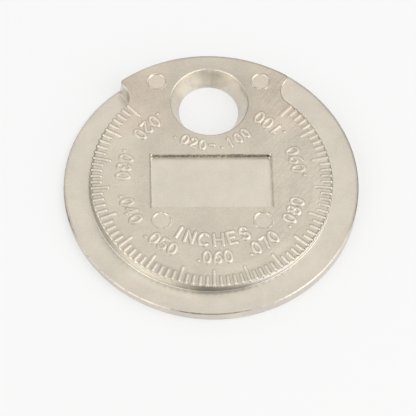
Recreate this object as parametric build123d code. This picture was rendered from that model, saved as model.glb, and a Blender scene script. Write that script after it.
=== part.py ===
"""A coin-shaped gap gauge, die-cast in one piece.

The rim is a ramp: its thickness grows evenly with the angle, so the place where it stops between two
contacts gives the gap, read on the scale at the edge of the thicker hub. A conical hole takes a key
ring. The origin is the centre of the flat back face, +Z goes up through the thickness, and +Y points
at the hole. Dial angles are in degrees from -Y, counter-clockwise as seen from above.
"""

import os
from math import cos, degrees, radians, sin, tan

from build123d import *

MM_PER_INCH = 25.4

# Disc
DISC_RADIUS = 19.0
EDGE_BREAK = 0.12
BACK_EDGE_BREAK = 0.15

# Scale: one division for each thousandth of an inch of rim thickness
SCALE_FIRST_INCH = 0.020
SCALE_LAST_INCH = 0.100
SCALE_STEP_INCH = 0.001
SCALE_SWEEP = 273.0
LONG_MARK_EVERY = 5

# Channel around the hub, which has the ramp as its floor
RIM_WIDTH = 3.4
THIN_END_PAST_SCALE = 5.5
THICK_END_PAST_SCALE = 9.5
CHANNEL_END_RADIUS = 2.0
WALL_DRAFT = 5.0
SHOULDER_RADIUS = 0.6
HUB_ABOVE_THICK_END = 0.09

# Scale marks: raised bars with two slopes on every side, flush with the hub's wall at the outer end
MARK_WIDTH = 0.4
MARK_SHORT = 1.5
MARK_LONG = 2.4
MARK_FLANK_HEIGHT = 0.06
MARK_FLANK_TAPER = 40.0
MARK_CREST_HEIGHT = 0.04
MARK_CREST_TAPER = 63.0
MARK_SETBACK = 0.01

# Key-ring hole: a cone that narrows towards the back
HOLE_FRONT_RADIUS = 5.05
HOLE_BACK_RADIUS = 3.85
HOLE_TO_DISC_EDGE = 2.15
HOLE_FRONT_EDGE_RADIUS = 0.15
HOLE_BACK_EDGE_BREAK = 0.1

# Shallow panel in the middle of the hub
PANEL_LENGTH = 15.6
PANEL_WIDTH = 7.8
PANEL_DEPTH = 0.7
PANEL_TO_HOLE = 2.95
PANEL_CORNER_RADIUS = 0.35
PANEL_DRAFT = 5.0
PANEL_EDGE_BREAK = 0.06

# Ejector-pin marks: four round, very shallow pits
PIN_MARK_RADIUS = 1.2
PIN_MARK_DEPTH = 0.08
UPPER_PIN_TO_DISC_EDGE = 2.53
UPPER_PIN_PAST_CHANNEL = 9.6
LOWER_PIN_BELOW_PANEL = 2.0
LOWER_PIN_INSIDE_PANEL_END = 1.3

HUB_RADIUS = DISC_RADIUS - RIM_WIDTH
THIN_END_ANGLE = -SCALE_SWEEP / 2 - THIN_END_PAST_SCALE
THICK_END_ANGLE = SCALE_SWEEP / 2 + THICK_END_PAST_SCALE
SCALE_MIDDLE_INCH = (SCALE_FIRST_INCH + SCALE_LAST_INCH) / 2
RISE_PER_DEGREE = (SCALE_LAST_INCH - SCALE_FIRST_INCH) * MM_PER_INCH / SCALE_SWEEP
HOLE_CENTRE_Y = DISC_RADIUS - HOLE_TO_DISC_EDGE - HOLE_FRONT_RADIUS
PANEL_CENTRE_Y = HOLE_CENTRE_Y - HOLE_FRONT_RADIUS - PANEL_TO_HOLE - PANEL_WIDTH / 2


def rim_thickness(angle):
    """The rim's thickness at a dial angle, in mm."""
    return SCALE_MIDDLE_INCH * MM_PER_INCH + RISE_PER_DEGREE * angle


BODY_THICKNESS = rim_thickness(THICK_END_ANGLE) + HUB_ABOVE_THICK_END
ON_BACK = (Align.CENTER, Align.CENTER, Align.MIN)


def dial_point(radius, angle, z=0.0):
    """The point at a radius and a dial angle."""
    return Vector(radius * sin(radians(angle)), -radius * cos(radians(angle)), z)


def sector(inner, outer, start, end):
    """A flat ring sector between two radii and two dial angles."""
    inner_arc, outer_arc = (
        [dial_point(radius, angle) for angle in (start, (start + end) / 2, end)]
        for radius in (inner, outer)
    )
    return Face(Wire([
        Edge.make_three_point_arc(*inner_arc),
        Edge.make_line(inner_arc[2], outer_arc[2]),
        Edge.make_three_point_arc(*reversed(outer_arc)),
        Edge.make_line(outer_arc[0], inner_arc[0]),
    ]))


def sunk(plan, depth, draft):
    """The space of a pit with drafted walls, from a plan on the front face."""
    return Solid.extrude_taper(Pos(0, 0, BODY_THICKNESS) * plan, Vector(0, 0, -depth), draft)


def on_radius(edge, radius):
    """Whether an edge lies all along a cylinder about the disc's axis."""
    points = [edge @ t for t in (0, 0.5, 1)]
    return all(abs(Vector(p.X, p.Y).length - radius) < 1e-3 for p in points)


def rings(body, centre_y, z):
    """The round edges centred on a point of the Y axis at a height."""
    centre = Vector(0, centre_y, z)
    return [e for e in body.edges().filter_by(GeomType.CIRCLE) if (e.arc_center - centre).length < 1e-3]


def channel():
    """The space around the hub: a ring sector with round inner corners, open at the rim."""
    plan = sector(HUB_RADIUS, DISC_RADIUS + BODY_THICKNESS, THIN_END_ANGLE, THICK_END_ANGLE)
    inner_corners = [v for v in plan.vertices() if Vector(v).length < DISC_RADIUS]
    return sunk(plan.fillet_2d(CHANNEL_END_RADIUS, inner_corners), BODY_THICKNESS, WALL_DRAFT)


def hub():
    """The full-thickness middle, which reaches the disc's edge only beside the hole."""
    body = Cylinder(DISC_RADIUS, BODY_THICKNESS, align=ON_BACK) - channel()
    outer = [e for e in body.edges() if on_radius(e, DISC_RADIUS)]
    shoulders = [e for e in outer if abs((e @ 0).Z - (e @ 1).Z) > BODY_THICKNESS / 2]
    body = fillet(shoulders, SHOULDER_RADIUS)
    return chamfer(body.faces().sort_by(Axis.Z)[-1].edges(), EDGE_BREAK)


def space_above_ramp(start, end, inside):
    """What lies over the ramp: a radial line that climbs as it turns, swept upwards."""
    helices = [
        Edge.make_helix(RISE_PER_DEGREE * 360, RISE_PER_DEGREE * (end - start), radius)
        for radius in (inside, DISC_RADIUS + BODY_THICKNESS)
    ]
    floor = Rot(0, 0, start - 90) * Face.make_surface_from_curves(*helices)
    return extrude(Pos(0, 0, rim_thickness(start)) * floor, amount=BODY_THICKNESS, dir=(0, 0, 1))


def ramp():
    """The measuring rim, which runs in under the hub and under both of its shoulders."""
    overlap = degrees(2 * SHOULDER_RADIUS / DISC_RADIUS)
    start = THIN_END_ANGLE - overlap
    end = THICK_END_ANGLE + overlap
    inside = HUB_RADIUS - CHANNEL_END_RADIUS
    body = extrude(sector(inside, DISC_RADIUS, start, end), amount=BODY_THICKNESS, dir=(0, 0, 1))
    body -= space_above_ramp(start - overlap, end + overlap, inside / 2)
    rim_edges = [e for e in body.edges() if on_radius(e, DISC_RADIUS) and e.length > DISC_RADIUS]
    return chamfer(max(rim_edges, key=lambda e: (e @ 0.5).Z), EDGE_BREAK)


def with_key_ring_hole(body):
    """Cuts the conical hole, rounds its front edge and breaks its back one."""
    cone = Cone(HOLE_BACK_RADIUS, HOLE_FRONT_RADIUS, BODY_THICKNESS, align=ON_BACK)
    body -= Pos(0, HOLE_CENTRE_Y, 0) * cone
    body = fillet(rings(body, HOLE_CENTRE_Y, BODY_THICKNESS), HOLE_FRONT_EDGE_RADIUS)
    return chamfer(rings(body, HOLE_CENTRE_Y, 0), HOLE_BACK_EDGE_BREAK)


def with_panel(body):
    """Sinks the shallow panel and breaks its edge."""
    plan = Pos(0, PANEL_CENTRE_Y) * RectangleRounded(PANEL_LENGTH, PANEL_WIDTH, PANEL_CORNER_RADIUS)
    body -= sunk(plan.face(), PANEL_DEPTH, PANEL_DRAFT)
    openings = body.faces().sort_by(Axis.Z)[-1].inner_wires()
    panel_edge = next(w for w in openings if w.edges().filter_by(GeomType.LINE))
    return chamfer(panel_edge.edges(), PANEL_EDGE_BREAK)


def pin_marks():
    """The pits left by the four ejector pins."""
    upper = dial_point(DISC_RADIUS - UPPER_PIN_TO_DISC_EDGE, THICK_END_ANGLE + UPPER_PIN_PAST_CHANNEL)
    lower_x = PANEL_LENGTH / 2 - LOWER_PIN_INSIDE_PANEL_END
    lower_y = PANEL_CENTRE_Y - PANEL_WIDTH / 2 - LOWER_PIN_BELOW_PANEL
    pit = Cylinder(PIN_MARK_RADIUS, PIN_MARK_DEPTH, align=(Align.CENTER, Align.CENTER, Align.MAX))
    return [
        Pos(side * x, y, BODY_THICKNESS) * pit
        for x, y in ((upper.X, upper.Y), (lower_x, lower_y))
        for side in (-1, 1)
    ]


def mark(length):
    """One raised mark along -X, from the middle of its outer end on the front face."""
    inset = MARK_FLANK_HEIGHT * tan(radians(MARK_FLANK_TAPER))
    plan = Pos(-length / 2, 0) * Rectangle(length, MARK_WIDTH)
    crest_plan = Pos(-length / 2, 0) * Rectangle(length - 2 * inset, MARK_WIDTH - 2 * inset)
    up = (0, 0, 1)
    bar = extrude(plan, amount=2 * EDGE_BREAK, dir=(0, 0, -1))
    bar += Solid.extrude_taper(plan.face(), MARK_FLANK_HEIGHT * Vector(up), MARK_FLANK_TAPER)
    crest = Solid.extrude_taper(crest_plan.face(), MARK_CREST_HEIGHT * Vector(up), MARK_CREST_TAPER)
    return bar + Pos(0, 0, MARK_FLANK_HEIGHT) * crest


def scale_marks():
    """The marks of the whole scale, each turned to its dial angle."""
    short_mark, long_mark = mark(MARK_SHORT), mark(MARK_LONG)
    divisions = int((SCALE_LAST_INCH - SCALE_FIRST_INCH) / SCALE_STEP_INCH + 1e-6)
    step = SCALE_STEP_INCH * MM_PER_INCH / RISE_PER_DEGREE
    outer_end = Pos(HUB_RADIUS - MARK_SETBACK, 0, BODY_THICKNESS)
    return [
        Rot(0, 0, index * step - SCALE_SWEEP / 2 - 90) * outer_end
        * (short_mark if index % LONG_MARK_EVERY else long_mark)
        for index in range(divisions + 1)
    ]


def gauge():
    """The whole casting."""
    body = hub() + ramp()
    body = chamfer(rings(body, 0, 0), BACK_EDGE_BREAK)
    body = with_panel(with_key_ring_hole(body))
    body -= pin_marks()
    return body + scale_marks()


if __name__ == "__main__":
    os.makedirs("parts", exist_ok=True)
    export_step(gauge(), "parts/gauge_disc.step")
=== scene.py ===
from math import atan2, ceil, cos, degrees, pi, radians, sin

import bmesh
import bpy
from mathutils import Matrix, Vector, noise


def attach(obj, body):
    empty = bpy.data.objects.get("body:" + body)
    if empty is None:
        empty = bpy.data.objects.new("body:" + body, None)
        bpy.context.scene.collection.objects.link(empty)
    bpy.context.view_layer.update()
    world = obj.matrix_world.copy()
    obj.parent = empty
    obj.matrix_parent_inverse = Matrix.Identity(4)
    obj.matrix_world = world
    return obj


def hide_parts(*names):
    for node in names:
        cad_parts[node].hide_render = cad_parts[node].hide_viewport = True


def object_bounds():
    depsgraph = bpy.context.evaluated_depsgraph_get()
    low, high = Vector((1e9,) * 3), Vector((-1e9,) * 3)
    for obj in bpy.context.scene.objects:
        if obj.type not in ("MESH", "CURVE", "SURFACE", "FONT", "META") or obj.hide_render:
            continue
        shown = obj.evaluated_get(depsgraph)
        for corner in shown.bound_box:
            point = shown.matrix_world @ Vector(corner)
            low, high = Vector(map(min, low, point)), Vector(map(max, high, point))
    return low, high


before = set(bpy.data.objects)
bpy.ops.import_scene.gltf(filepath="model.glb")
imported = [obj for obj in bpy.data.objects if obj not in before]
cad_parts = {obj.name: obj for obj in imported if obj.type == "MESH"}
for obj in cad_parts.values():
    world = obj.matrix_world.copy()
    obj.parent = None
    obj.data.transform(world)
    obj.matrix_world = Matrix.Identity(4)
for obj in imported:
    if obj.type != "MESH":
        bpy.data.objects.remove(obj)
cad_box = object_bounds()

# The camera looks down on the gauge from 60 degrees, over the side away from the key-ring hole, and
# leans a little. Its long lens leaves the disc's outline almost free of perspective.
MM = 0.001
VIEW_AZIMUTH, VIEW_ELEVATION, VIEW_ROLL = radians(4.985), radians(59.8), radians(-4.168)
VIEW_OFFSET = Vector((-0.35, -2.28, 392.8)) * MM
camera = bpy.data.objects.new("camera", bpy.data.cameras.new("camera"))
camera.data.sensor_width, camera.data.lens = 36, 262.84
camera.data.clip_start, camera.data.clip_end = 0.01, 10
camera.matrix_world = (
    Matrix.Rotation(-VIEW_AZIMUTH, 4, "Z")
    @ Matrix.Rotation(pi / 2 - VIEW_ELEVATION, 4, "X")
    @ Matrix.Rotation(-VIEW_ROLL, 4, "Z")
    @ Matrix.Translation(VIEW_OFFSET)
)
bpy.context.scene.collection.objects.link(camera)
bpy.context.scene.camera = camera
bpy.context.scene.view_settings.view_transform = "Standard"


# The gauge is one zinc die-casting: a flat disc with its ramp, channel, hole, panel and marks. Satin
# nickel plate covers it, warm grey over the fine grain of the cast skin. The face is a little darker than
# the sunk floors, and painted light and shade change round the dial, as the plate's reflections do.
class Field:
    """A value that varies over a surface. Arithmetic on it adds Math nodes."""

    def __init__(self, tree, socket):
        self.tree, self.socket = tree, socket

    def add(self, kind, settings=(), inputs=(), output=0):
        """A new node of a kind: first its settings, then the values or links of its sockets."""
        node = self.tree.nodes.new(kind)
        for name, value in dict(settings).items():
            setattr(node, name, value)
        for name, value in dict(inputs).items():
            if isinstance(value, Field):
                self.tree.links.new(value.socket, node.inputs[name])
            else:
                node.inputs[name].default_value = value
        return Field(self.tree, node.outputs[output]) if len(node.outputs) else None

    def math(self, operation, *values):
        return self.add("ShaderNodeMath", {"operation": operation}, dict(enumerate(values)))

    def vector(self, operation, inputs, output="Vector"):
        return self.add("ShaderNodeVectorMath", {"operation": operation}, inputs, output)

    def __add__(self, other):
        return self.math("ADD", self, other)

    def __sub__(self, other):
        return self.math("SUBTRACT", self, other)

    def __rsub__(self, other):
        return self.math("SUBTRACT", other, self)

    def __mul__(self, other):
        return self.math("MULTIPLY", self, other)

    def __truediv__(self, other):
        return self.math("DIVIDE", self, other)

    def __abs__(self):
        return self.math("ABSOLUTE", self)

    __radd__, __rmul__ = __add__, __mul__

    def ramp(self, low, high, to_low=0.0, to_high=1.0):
        """A smooth step, from one result where the value is low to another where it is high."""
        inputs = {0: self, 1: low, 2: high, 3: to_low, 4: to_high}
        return self.add("ShaderNodeMapRange", {"interpolation_type": "SMOOTHSTEP"}, inputs)

    def between(self, start, full, fading, end):
        """A mask: 1 from full to fading, and 0 before start and past end."""
        return self.ramp(start, full) * self.ramp(end, fading)

    def near(self, middle, half, fade):
        """A mask: 1 up to half a width away from a middle value, and 0 from a fade further on."""
        return abs(self - middle).ramp(half + fade, half)

    def clouds(self, scale, detail=2.0, roughness=0.5):
        """Soft noise, read at this place."""
        inputs = {"Vector": self, "Scale": scale, "Detail": detail, "Roughness": roughness}
        return self.add("ShaderNodeTexNoise", {"noise_dimensions": "3D"}, inputs)

    def blend(self, low, high):
        """From one colour, where this mask is 0, to another, where it is 1."""
        inputs = {"Factor": self, 6: low, 7: high}
        return self.add("ShaderNodeMix", {"data_type": "RGBA"}, inputs, output=2)


def new_material(name):
    """An empty material, with a Field to start its nodes from."""
    material = bpy.data.materials.new(name)
    material.use_nodes = True
    material.node_tree.nodes.clear()
    return material, Field(material.node_tree, None)


MARK_HEIGHT = 0.1 * MM
FACE_Z = cad_box[1].z - MARK_HEIGHT
HOLE_CENTRE_Y = 11.8 * MM

# The rim's thickness, in mm, is what the dial reads in inches
INCH = 25.4
SCALE_FIRST, SCALE_LAST, SCALE_SWEEP = 0.020 * INCH, 0.100 * INCH, 273
RIM_MIDDLE = (SCALE_FIRST + SCALE_LAST) / 2
RIM_RISE = (SCALE_LAST - SCALE_FIRST) / SCALE_SWEEP


class Plate:
    """Where a point of the plate is, in mm and dial degrees, and on which surface of the casting."""

    def __init__(self, start):
        place = start.add("ShaderNodeTexCoord", output="Object")
        across, along, height = (
            place.add("ShaderNodeSeparateXYZ", (), {0: place}, output=axis) / MM for axis in "XYZ")
        self.place, self.across, self.along, self.sideways = place, across, along, abs(across)
        self.dial = across.math("ARCTAN2", across, along * -1) * degrees(1)
        self.over_face = height - FACE_Z / MM
        rim_height = self.dial * RIM_RISE + RIM_MIDDLE
        self.up_wall = (height - rim_height) / (FACE_Z / MM - rim_height)
        level = place.vector("MULTIPLY", {0: place, 1: (1, 1, 0)})
        self.from_hole = place.vector("SUBTRACT", {0: level, 1: (0, HOLE_CENTRE_Y, 0)})
        self.radius, self.hole_radius = (
            out.vector("LENGTH", {0: out}, "Value") / MM for out in (level, self.from_hole))

        self.steepness = place.add("ShaderNodeAttribute", {"attribute_name": "steepness"}, output="Fac")
        self.wall = self.steepness.ramp(0.35, 0.55)
        self.flat = 1 - self.wall
        self.broken_edge = self.steepness.ramp(0.1, 0.25) - self.wall
        self.raised = self.over_face.ramp(-0.14, -0.02)
        self.above_face = self.over_face.ramp(0.001, 0.003)
        self.up_flank = self.over_face.ramp(0.015, 0.06)
        self.rim_wall = self.wall * self.radius.ramp(18.9, 18.95)
        self.panel_wall = self.wall * self.along.ramp(5, 4.9) * self.radius.ramp(8.95, 8.9)
        self.hole_wall = self.wall * self.hole_radius.ramp(5.3, 5.2)
        self.hub_wall = self.wall * self.radius.between(15.5, 15.55, 15.85, 15.95)
        self.hub_edge = self.broken_edge * self.radius.between(15.2, 15.3, 15.9, 16)

        self.cloud = place.clouds(1 / (4 * MM), 3, 0.6)
        self.grain = place.clouds(1 / (0.25 * MM), 3, 0.6)


# Each tone below lightens or darkens its own part of the plate, by shares of the plate's colour. Apart from
# the skin's mottle, speckle, scratches and nicks, most of it is painted light and shade
def skin_tone(on):
    """The whole plate: mottled, with fine slanting scratches at the right, and nicked on its edges."""
    mottle = on.cloud.ramp(0.3, 0.7, 0.99, 1.08)
    speckle = on.grain.ramp(0.25, 0.75, -0.06, 0.06) * (0.6 + on.raised * 0.4)
    aslant = on.place.add("ShaderNodeMapping", {"vector_type": "TEXTURE"}, {
        "Vector": on.place, "Rotation": (0, 0, radians(50)), "Scale": (6, 1, 1)})
    scratches = aslant.clouds(1 / (0.2 * MM)).ramp(0.3, 0.7, -0.05, 0.05)
    nicks = on.broken_edge * on.place.clouds(1 / (0.6 * MM)).ramp(0.5, 0.7)
    return mottle + speckle + on.raised * on.across.ramp(4, 8) * scratches - nicks * 0.25


def relief_tone(on):
    """Painted shade round the foot of the raised strokes, less of it where the scale's glints are dimmed, and
    painted darker upper flanks and crests there, to dim their highlights.
    """
    dimmed_glints = on.raised * on.radius.ramp(13, 13.3) * (on.dial.near(-40, 17, 18) + on.dial.near(124, 14, 16))
    return (on.above_face - on.up_flank) * (dimmed_glints * 0.17 - 0.2) - on.up_flank * dimmed_glints * 0.1


def face_tone(on):
    """The face: lighter and darker stretches within and along the scale, and painted shade over the scale at
    the front, between its marks.
    """
    dial, radius = on.dial, on.radius
    within_scale = radius.between(9.8, 10.6, 13.6, 14.2) * (dial.near(-80, 62, 18) + dial.near(138, 10, 12))
    right_front = radius.between(12.4, 13, 13.6, 14) * dial.near(28, 14, 12)
    right_scale = radius.ramp(13, 13.3) * dial.near(80, 6, 8)
    shaded_front_scale = radius.between(13.8, 14.2, 15.3, 15.45) * dial.near(-8, 18, 25)
    left_of_hole = radius.ramp(13, 14) * dial.near(-150, 10, 12)
    right_of_hole = on.along.ramp(7, 9) * on.across.ramp(5, 7.5)
    return on.raised * (
        within_scale * 0.05 + right_front * 0.1 + right_scale * 0.08 - shaded_front_scale * 0.08
        + left_of_hole * 0.06 + right_of_hole * 0.03 - 0.06)


def rim_tone(on):
    """The rim: painted shade on its outline, fainter at the left, and on its thick end's step, coves, front
    edge and outer floor; painted light on its thin end's wall; a lighter outer wall.
    """
    outline = on.flat * on.radius.ramp(18.58, 18.78) * on.along.ramp(-9, -4)
    front_edge = on.broken_edge * on.radius.ramp(18.7, 18.8) * on.dial.near(-2, 10, 7)
    thick_end = on.broken_edge * on.radius.ramp(17.6, 17.2) * on.dial.near(139, 5, 4)
    thin_end = on.wall * on.radius.between(16.1, 16.5, 18.9, 18.95) * on.dial.near(-144, 5, 2)
    floor = on.flat * on.radius.ramp(15.8, 16) * on.dial.near(0, 142, 4)
    cove = (on.steepness.ramp(0.01, 0.05) - on.wall) * (1 - on.raised)
    return (
        on.rim_wall * 0.12 + thin_end * 0.09 - thick_end * 0.5 - front_edge * 0.2 - cove * 0.04
        - outline * (on.broken_edge * 0.35 + 0.22) * (1 - on.dial.near(-125, 30, 20) * 0.5)
        - floor * (on.radius.ramp(17.4, 18.6) * 0.04 + on.dial.ramp(100, 125) * 0.05))


def hub_tone(on):
    """Painted light and shade on the hub's wall and the floor at its foot, which mirror each other, and on
    the hub's edge and the face beside it.
    """
    dial, up_wall = on.dial, on.up_wall
    wall = (
        up_wall.ramp(0.5, 0.8) * dial.near(16, 10, 20) * 0.36 - up_wall.ramp(0.5, 0.15) * 0.12
        - up_wall.ramp(0.55, 0.3) * dial.near(46, 12, 14) * 0.3
        - dial.near(-28, 8, 12) * 0.1 - dial.ramp(63, 75) * 0.1)
    foot = (1 - on.raised) * on.flat * on.radius.ramp(15.4, 15.5)
    foot_light = (
        on.radius.ramp(17.4, 16.2) * dial.near(-25, 11, 12) * 0.2
        + on.radius.ramp(16.1, 15.95) * dial.near(40, 14, 10) * 0.1
        - on.radius.ramp(16.3, 15.8) * dial.near(2, 9, 9) * 0.27)
    top = on.raised * (1 - on.up_flank) * on.radius.between(15.2, 15.45, 15.9, 16)
    return (
        on.hub_wall * wall + foot * foot_light + on.hub_edge * dial.near(-56, 14, 12) * 0.35
        - (on.hub_edge + on.hub_wall) * dial.near(114, 26, 8) * 0.3
        - top * (dial.near(88, 42, 12) * 0.28 + dial.near(-101, 12, 18) * 0.45))


def panel_tone(on):
    """The panel: walls lightened and speckled by the die, a painted highlight on the right wall and painted
    shade in its far corner, painted highlights on its edges, and a line of painted shade beside each end.
    """
    speckle = on.place.clouds(1 / (0.35 * MM)).ramp(0.42, 0.54)
    right_wall = on.across.ramp(7, 7.5) * on.along.ramp(3.5, 3.2, -0.35, 0.55)
    edge = on.broken_edge * on.along.ramp(5, 4.9) * on.radius.ramp(9, 8.95)
    end_line = on.flat * on.sideways.between(7.72, 7.8, 7.92, 8.04) * on.along.between(-4.25, -4.1, 3.9, 4.05)
    return (
        on.panel_wall * (0.3 - speckle * 0.6 + right_wall) + edge * (1 - end_line) * 0.25
        - end_line * (0.3 - on.across.ramp(0, 1) * 0.1))


def hole_tone(on):
    """The hole: a streaked cone with painted light and shade, brightest at the far left, in a ring with a
    painted highlight on its far side and painted shade on its near side and right, and a darker patch of
    face.
    """
    across, along = on.across, on.along
    bearing = on.from_hole.vector("NORMALIZE", {0: on.from_hole})
    cone = (
        bearing.clouds(24, 3).ramp(0.3, 0.7, 0.02, 0.16) - along.ramp(15, 12) * 0.1
        + across.ramp(0.8, -0.6) * along.ramp(13.3, 14.5) * 0.22
        + across.ramp(-0.4, -1.4) * along.ramp(15.4, 16.3) * 0.2
        - on.sideways.ramp(1.5, 0.4) * along.between(12, 13, 15.8, 16.7) * 0.18)
    ring = on.hole_radius.between(4.99, 5.02, 5.15, 5.18) * on.over_face.ramp(-0.13, -0.1)
    ring_light = (
        along.ramp(11.5, 14, -0.15, 0.25) + along.ramp(16.4, 16.7) * 0.12 - across.ramp(1, 2) * 0.14)
    patch = (
        on.over_face.ramp(-0.05, -0.03) * (1 - on.up_flank) * along.between(5, 12, 14, 19)
        * (1 - on.dial.near(0, 120, 24)))
    return on.hole_wall * cone + ring * ring_light - patch * 0.15


def plate_colour(on):
    """The plate's colour: tints for the face and the sunk floors, redder beside the hole, a faint stain in
    patches, and painted light and shade in the tints of the crests and walls.
    """
    beside_hole = on.raised * on.along.ramp(6, 9) * on.sideways.ramp(4, 7)
    crest = on.over_face.ramp(0.06, 0.11)
    right = on.dial.near(45, 20, 20)
    stain = on.place.clouds(1 / (2.5 * MM)).ramp(0.45, 0.7) * 0.35
    sunk_tint, face_tint = (0.83, 0.757, 0.645, 1), (0.785, 0.705, 0.59, 1)
    colour = on.raised.blend(sunk_tint, face_tint)
    # The crests' lighter tint is a painted highlight, the walls' darker, greyer tints are painted shade, and
    # the cooler tints of the hub's wall and edge at the right paint the colour of their highlights.
    for mask, tint in (
        (beside_hole, (0.82, 0.712, 0.588, 1)),
        (crest, (0.89, 0.83, 0.73, 1)),
        (on.wall, (0.58, 0.57, 0.55, 1)),
        (on.hub_wall * right, (0.57, 0.585, 0.62, 1)),
        (on.hub_edge * right, (0.74, 0.705, 0.64, 1)),
        (on.panel_wall, (0.62, 0.56, 0.48, 1)),
        (on.hole_wall, (0.64, 0.585, 0.51, 1)),
        (on.rim_wall, (0.6, 0.555, 0.5, 1)),
        (stain, (0.76, 0.71, 0.57, 1)),
    ):
        colour = mask.blend(colour, tint)
    return colour


GRAIN_STRENGTH, GRAIN_DEPTH = 0.4, 0.0035 * MM


def satin_nickel():
    """The plate's material, on Object coordinates, which are the frame's own, and on "steepness"."""
    material, start = new_material("satin_nickel")
    on = Plate(start)
    tone = (
        skin_tone(on) + relief_tone(on) + face_tone(on) + rim_tone(on) + hub_tone(on) + panel_tone(on)
        + hole_tone(on))
    colour = start.vector("SCALE", {0: plate_colour(on), "Scale": tone})
    roughness = (
        0.29 + on.raised * 0.09 + on.cloud.ramp(0.3, 0.7, 0, 0.03) + on.above_face * 0.06
        + on.hub_edge * 0.2)
    bump = start.add("ShaderNodeBump", (), {
        "Strength": GRAIN_STRENGTH, "Distance": GRAIN_DEPTH, "Height": on.grain})
    shader = start.add("ShaderNodeBsdfPrincipled", (), {
        "Base Color": colour, "Metallic": 1.0, "Roughness": roughness, "Normal": bump})
    start.add("ShaderNodeOutputMaterial", (), {"Surface": shader})
    return material


nickel = satin_nickel()


def finished(name, bm, sharp=180.0):
    """A mesh piece of the gauge, shaded smooth up to a sharp angle and riding on its body."""
    mesh = bpy.data.meshes.new(name)
    for edge in bm.edges:
        edge.smooth = len(edge.link_faces) == 2 and edge.calc_face_angle() < radians(sharp)
    for face in bm.faces:
        face.smooth = True
    bm.to_mesh(mesh)
    bm.free()
    mesh.materials.append(nickel)
    piece = bpy.data.objects.new(name, mesh)
    bpy.context.scene.collection.objects.link(piece)
    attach(piece, "root")
    return piece


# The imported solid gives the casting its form. Its own marks sink to a third, so that they stay under the
# engraved ones, and a small cove softens each sharp inner foot between the back's edge and the face.
# Each face's steepness, from 0 when it lies level to 1 when it stands upright, goes to the material.
MARKS_LEFT = 1 / 3
COVE, COVE_SEGMENTS = 0.11 * MM, 5
FOOT_ANGLE, FOOT_OVER_BACK, FOOT_UNDER_FACE = radians(70), 0.2 * MM, 0.4 * MM
casting = bmesh.new()
casting.from_mesh(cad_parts["gauge_disc"].data)
bmesh.ops.remove_doubles(casting, verts=casting.verts, dist=0.0001 * MM)
casting.normal_update()
for vert in casting.verts:
    vert.co.z = min(vert.co.z, FACE_Z + (vert.co.z - FACE_Z) * MARKS_LEFT)
feet = [edge for edge in casting.edges if len(edge.link_faces) == 2
        and not edge.is_convex and edge.calc_face_angle() > FOOT_ANGLE
        and FOOT_OVER_BACK < min(vert.co.z for vert in edge.verts)
        and max(vert.co.z for vert in edge.verts) < FACE_Z - FOOT_UNDER_FACE]
bmesh.ops.bevel(casting, geom=feet, offset=COVE, offset_type="OFFSET", segments=COVE_SEGMENTS,
                profile=0.5, affect="EDGES", material=-1, clamp_overlap=False)
steepness = casting.faces.layers.float.new("steepness")
casting.normal_update()
for face in casting.faces:
    face[steepness] = 1 - abs(face.normal.z)
disc = finished("cast_disc", casting, sharp=25.0)
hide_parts("gauge_disc")


# The raised numerals stand on the dial as strokes with a round crest and steep sides, as a tapered cutter
# leaves them in the die. They lean with the dial, tops towards its centre, and some were cut less deep.
# CUTTER is the cutter's profile: how far out from its middle and how high over the face, in mm.
CUTTER = [
    (0, 0.14), (0.045, 0.136), (0.09, 0.118), (0.15, 0.066), (0.2, 0.02), (0.27, 0.004), (0.28, -0.16)]
PLUNGE_STEPS, CORNER_ANGLE, ARC_STEP = 12, 40, 15


def chain(bm, places):
    """New vertices, joined by edges one after the other."""
    verts = [bm.verts.new(place) for place in places]
    return verts, [bm.edges.new(pair) for pair in zip(verts, verts[1:])]


def cut(bm, points, breadth):
    """One smooth stroke through points on the face: a round plunge at each end, and the pass between."""
    cutter = [(x * breadth, z * breadth if z > 0 else z) for x, z in CUTTER]
    for end in (points[0], points[-1]):
        verts, edges = chain(bm, [end + Vector((x, 0, z)) * MM for x, z in cutter])
        bmesh.ops.spin(bm, geom=verts + edges, cent=end, axis=(0, 0, 1), angle=2 * pi,
                       steps=PLUNGE_STEPS, use_merge=True)
    seats = []
    for before, here, after in zip([points[0]] + points, points, points[1:] + [points[-1]]):
        along = after - before
        seats.append(Matrix.Translation(here) @ Matrix.Rotation(atan2(along.y, along.x), 4, "Z"))
    section = [Vector((0, -x, z)) * MM for x, z in cutter[:0:-1]]
    section += [Vector((0, x, z)) * MM for x, z in cutter]
    verts, edges = chain(bm, [seats[0] @ place for place in section])
    for here, there in zip(seats, seats[1:]):
        grown = bmesh.ops.extrude_edge_only(bm, edges=edges)["geom"]
        verts = [item for item in grown if isinstance(item, bmesh.types.BMVert)]
        edges = [item for item in grown if isinstance(item, bmesh.types.BMEdge)
                 and set(item.verts) <= set(verts)]
        bmesh.ops.transform(bm, matrix=there @ here.inverted(), verts=verts)


def turn(before, here, after):
    """The angle by which a path turns at a point, in degrees."""
    return degrees((here - before).angle(after - here))


def cut_path(bm, points, breadth):
    """A path, cut in one pass between each two of its sharp corners."""
    start = 0
    for index in range(1, len(points)):
        if index == len(points) - 1 or turn(*points[index - 1:index + 2]) > CORNER_ANGLE:
            cut(bm, points[start:index + 1], breadth)
            start = index


def raised_piece(name, bm):
    """The finished piece: doubles at the crests merged, and every face turned up."""
    bmesh.ops.remove_doubles(bm, verts=bm.verts, dist=0.001 * MM)
    bm.normal_update()
    for face in bm.faces:
        if face.normal.z < 0:
            face.normal_flip()
    return finished(name, bm)


def arc(x, y, width, height, start, end):
    """Points on part of an ellipse, from one angle to another, in degrees."""
    steps = ceil(abs(end - start) / ARC_STEP)
    angles = [radians(start + (end - start) * i / steps) for i in range(steps + 1)]
    return [(x + width / 2 * cos(a), y + height / 2 * sin(a)) for a in angles]


def turned_round(strokes):
    """The same strokes after half a turn about the glyph's middle."""
    return [[(-x, 1 - y) for x, y in stroke] for stroke in strokes]


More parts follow.
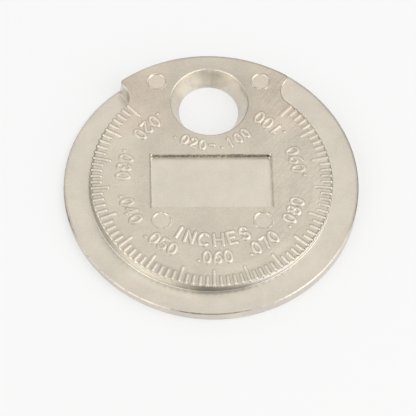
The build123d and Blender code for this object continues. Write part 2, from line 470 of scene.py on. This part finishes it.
# Each glyph's strokes, in shares of its height: x from its middle, y from its foot
SIX = [arc(0.24, 0.3, 1.0, 1.36, 98, 180), arc(0, 0.3, 0.52, 0.6, 0, 360)]
GLYPHS = {
    ".": [[(0, 0.1), (0, 0.11)]],
    "-": [[(-0.22, 0.5), (0.22, 0.5)]],
    "0": [arc(0, 0.5, 0.54, 1, 0, 360)],
    "1": [[(-0.16, 0.78), (0, 1), (0, 0)]],
    "2": [arc(0, 0.74, 0.52, 0.52, 165, -35) + [(-0.27, 0), (0.27, 0)]],
    "3": [arc(0, 0.75, 0.46, 0.5, 150, -90), arc(0, 0.26, 0.52, 0.52, 90, -150)],
    "4": [[(0.12, 0), (0.12, 1), (-0.28, 0.3), (0.28, 0.3)]],
    "5": [[(0.22, 1), (-0.2, 1), (-0.23, 0.55)] + arc(0, 0.31, 0.54, 0.62, 130, -150)],
    "6": SIX,
    "7": [[(-0.26, 1), (0.26, 1), (-0.06, 0)]],
    "8": [arc(0, 0.76, 0.44, 0.48, 0, 360), arc(0, 0.26, 0.54, 0.52, 0, 360)],
    "9": turned_round(SIX),
    "C": [arc(0, 0.5, 0.8, 1, 50, 310)],
    "E": [[(0.26, 1), (-0.25, 1), (-0.25, 0), (0.28, 0)], [(-0.25, 0.52), (0.18, 0.52)]],
    "H": [[(-0.34, 0), (-0.34, 1)], [(0.34, 0), (0.34, 1)], [(-0.34, 0.5), (0.34, 0.5)]],
    "I": [[(0, 0), (0, 1)]],
    "N": [[(-0.3, 0), (-0.3, 1), (0.3, 0), (0.3, 1)]],
    "S": [arc(0, 0.75, 0.52, 0.5, 25, 270) + arc(0, 0.25, 0.54, 0.5, 90, -155)[1:]],
}


def on_dial(centre_y, radius, angle):
    """Where a glyph's middle goes: on an arc about a point of the Y axis, at a dial angle."""
    return (
        Matrix.Translation((0, centre_y, FACE_Z))
        @ Matrix.Rotation(radians(angle), 4, "Z")
        @ Matrix.Translation((0, -radius, 0))
    )


def engrave(bm, glyph, size, seat, breadth, depth):
    """A glyph, as tall as a size, cut flat and then seated on the dial. Breadth and depth are shares."""
    flat = bmesh.new()
    for stroke in GLYPHS[glyph]:
        cut_path(flat, [Vector((x, y - 0.5, 0)) * size for x, y in stroke], breadth)
    mesh = bpy.data.meshes.new("glyph")
    flat.to_mesh(mesh)
    flat.free()
    mesh.transform(seat @ Matrix.Scale(depth, 4, (0, 0, 1)))
    bm.from_mesh(mesh)
    bpy.data.meshes.remove(mesh)


NUMERAL_RADIUS, NUMERAL_SIZE, NUMERAL_BREADTH = 11.4 * MM, 1.6 * MM, 1.0
DIGIT_STEP, POINT_STEP = 6.8, 5.0
NUMERAL_ANGLES_AND_DEPTHS = {
    "020": (-133.9, 0.7), "030": (-99.7, 0.6), "040": (-66.3, 0.55), "050": (-34.1, 0.6),
    "060": (2.5, 0.7), "070": (35.3, 0.9), "080": (66.4, 0.85), "090": (105.2, 0.6), "100": (138.7, 0.6),
}
numerals = bmesh.new()
for digits, (middle, depth) in NUMERAL_ANGLES_AND_DEPTHS.items():
    angles = [middle - DIGIT_STEP, middle, middle + DIGIT_STEP, middle - DIGIT_STEP - POINT_STEP]
    for glyph, angle in zip(digits + ".", angles):
        seat = on_dial(0, NUMERAL_RADIUS, angle)
        engrave(numerals, glyph, NUMERAL_SIZE, seat, NUMERAL_BREADTH, depth)
raised_piece("raised_numerals", numerals)


# The unit stands in an arc under the panel, cut with a slightly broader cutter. Its letters are spaced
# one by one, as they are in the die.
UNIT_RADIUS, UNIT_SIZE, UNIT_BREADTH, UNIT_DEPTH = 8.9 * MM, 1.65 * MM, 1.1, 0.8
UNIT_LETTERS = {"I": -29.3, "N": -19.4, "C": -7.5, "H": 4.4, "E": 15.2, "S": 26.6}
unit = bmesh.new()
for letter, angle in UNIT_LETTERS.items():
    engrave(unit, letter, UNIT_SIZE, on_dial(0, UNIT_RADIUS, angle), UNIT_BREADTH, UNIT_DEPTH)
raised_piece("raised_unit", unit)


# The scale's range stands in a smaller arc round the hole, in finer figures: the rim's thickness at the
# first mark and at the last.
RANGE_RADIUS, RANGE_SIZE, RANGE_BREADTH, RANGE_DEPTH = 6.6 * MM, 1.3 * MM, 0.95, 0.75
RANGE, RANGE_MIDDLE, RANGE_STEP = ".020-.100", 1.5, 10.5
dial_range = bmesh.new()
for index, glyph in enumerate(RANGE):
    angle = RANGE_MIDDLE + (index - len(RANGE) // 2) * RANGE_STEP
    seat = on_dial(HOLE_CENTRE_Y, RANGE_RADIUS, angle)
    engrave(dial_range, glyph, RANGE_SIZE, seat, RANGE_BREADTH, RANGE_DEPTH)
raised_piece("raised_range", dial_range)


# The scale's 81 marks, one for each thousandth of an inch and every fifth one longer, were cut in the
# die with the same cutter, less deep at the left and towards both ends. They reach the hub's edge.
DIVISIONS, LONG_EVERY = 80, 5
HUB_RADIUS, MARK_SHORT, MARK_LONG = 15.6 * MM, 1.5 * MM, 2.4 * MM
MARK_BREADTH, CUTTER_REACH = 1.0, 0.2 * MM
CUT_DEPTHS = [(-137, 0.75), (-100, 1), (-80, 1), (-60, 0.6), (-30, 0.55), (-8, 0.85), (20, 1), (80, 1),
              (98, 0.75), (114, 0.5), (137, 0.4)]


def cut_depth(angle):
    """How deep the die was cut at a dial angle, as a share of the full depth, read from CUT_DEPTHS."""
    for (start, low), (end, high) in zip(CUT_DEPTHS, CUT_DEPTHS[1:]):
        if angle <= end:
            return low + (high - low) * (angle - start) / (end - start)


marks = bmesh.new()
for index in range(DIVISIONS + 1):
    length = (MARK_SHORT if index % LONG_EVERY else MARK_LONG) - 2 * CUTTER_REACH
    angle = (index - DIVISIONS / 2) * SCALE_SWEEP / DIVISIONS
    seat = on_dial(0, HUB_RADIUS - CUTTER_REACH - length / 2, angle)
    engrave(marks, "I", length, seat, MARK_BREADTH, cut_depth(angle))
raised_piece("raised_marks", marks)


# The die's four ejector pins each left a shallow round pit, with an uneven burr of metal round its edge.
# The pits are in the casting already, in pairs to the left and right of the middle. BURR is a burr's
# profile: how far out from the pin's middle and how high over the face, in mm.
PIN_PAIRS = [(6.8, 15.0), (6.5, -6.0)]
BURR = [(1.04, -0.081), (1.16, 0.02), (1.23, 0.06), (1.3, 0.02), (1.4, -0.01)]
BURR_STEPS, LUMP_SIZE, LUMP_HEIGHT, LUMP_LOSS = 48, 0.5 * MM, 0.1 * MM, 0.1
burrs = bmesh.new()
for x, y in PIN_PAIRS:
    for side in (-1, 1):
        pin = Vector((side * x * MM, y * MM, FACE_Z))
        verts, edges = chain(burrs, [pin + Vector((out, 0, up)) * MM for out, up in BURR])
        bmesh.ops.spin(burrs, geom=verts + edges, cent=pin, axis=(0, 0, 1), angle=2 * pi,
                       steps=BURR_STEPS, use_merge=True)
for vert in burrs.verts:
    if vert.co.z > FACE_Z:
        vert.co.z += (noise.noise(vert.co / LUMP_SIZE) - LUMP_LOSS) * LUMP_HEIGHT
raised_piece("pin_burrs", burrs)


# The floor is a plain white sheet. It shows white to the camera and in the metal, apart from the soft
# shadow, and lights the gauge as ordinary white paper does.
FLOOR_RADIUS, FLOOR_SIDES = 4.0, 64
PAPER, PAPER_LIFT = (0.9, 0.9, 0.895, 1), 0.55


def white_paper():
    """Matt white, lifted towards pure white where it is looked at or mirrored."""
    material, start = new_material("white_paper")
    camera_ray, glossy_ray, passing_ray = (
        start.add("ShaderNodeLightPath", output=name)
        for name in ("Is Camera Ray", "Is Glossy Ray", "Is Transmission Ray")
    )
    seen = camera_ray + glossy_ray + passing_ray
    matt = start.add("ShaderNodeBsdfDiffuse", (), {"Color": PAPER})
    white = start.add("ShaderNodeEmission", (), {"Color": (1, 1, 1, 1), "Strength": 1.0})
    shader = start.add("ShaderNodeMixShader", (), {"Fac": seen * PAPER_LIFT, 1: matt, 2: white})
    start.add("ShaderNodeOutputMaterial", (), {"Surface": shader})
    return material


sheet = bmesh.new()
bmesh.ops.create_circle(sheet, cap_ends=True, segments=FLOOR_SIDES, radius=FLOOR_RADIUS)
floor_mesh = bpy.data.meshes.new("floor")
sheet.to_mesh(floor_mesh)
sheet.free()
floor_mesh.materials.append(white_paper())
floor = bpy.data.objects.new("floor", floor_mesh)
bpy.context.scene.collection.objects.link(floor)


# Plain studio light: a pale tent all round, and a soft box on each side, a little in front of the gauge.
# The tent is open for the camera, and dimmer below the camera and behind the gauge at its left.
def from_the_gauge(azimuth, elevation):
    """A direction, in degrees: azimuth 0 is behind the gauge, and 90 on its right."""
    side, up = radians(azimuth), radians(elevation)
    return Vector((sin(side) * cos(up), cos(side) * cos(up), sin(up)))


def soft_box(name, azimuth, elevation, distance, size, power):
    """A square area light that faces the gauge."""
    light = bpy.data.lights.new(name, "AREA")
    light.shape, light.size, light.energy = "SQUARE", size, power
    box = bpy.data.objects.new(name, light)
    away = from_the_gauge(azimuth, elevation)
    box.location = away * distance
    box.rotation_euler = away.to_track_quat("Z", "Y").to_euler()
    bpy.context.scene.collection.objects.link(box)


soft_box("right_box", azimuth=108, elevation=40, distance=0.8, size=0.75, power=2.25)
soft_box("left_box", azimuth=-126, elevation=44, distance=0.8, size=0.6, power=1.1)

TENT_STRENGTH = 0.815
world = bpy.data.worlds.new("tent")
bpy.context.scene.world = world
world.use_nodes = True
world.node_tree.nodes.clear()
start = Field(world.node_tree, None)
towards = start.add("ShaderNodeTexCoord", output="Generated")
tent = TENT_STRENGTH
for opening, edge, middle, dimmed in (
    (camera.matrix_world.translation.normalized(), 22, 13, 0.0),
    (from_the_gauge(185, 33), 22, 10, 0.45),
    (from_the_gauge(-46, 47), 22, 5, 0.4),
):
    aligned = start.vector("DOT_PRODUCT", {0: towards, 1: opening}, "Value")
    tent = tent * aligned.ramp(cos(radians(edge)), cos(radians(middle)), 1.0, dimmed)
light = start.add("ShaderNodeBackground", (), {"Color": (1, 1, 1, 1), "Strength": tent})
start.add("ShaderNodeOutputWorld", (), {"Surface": light})
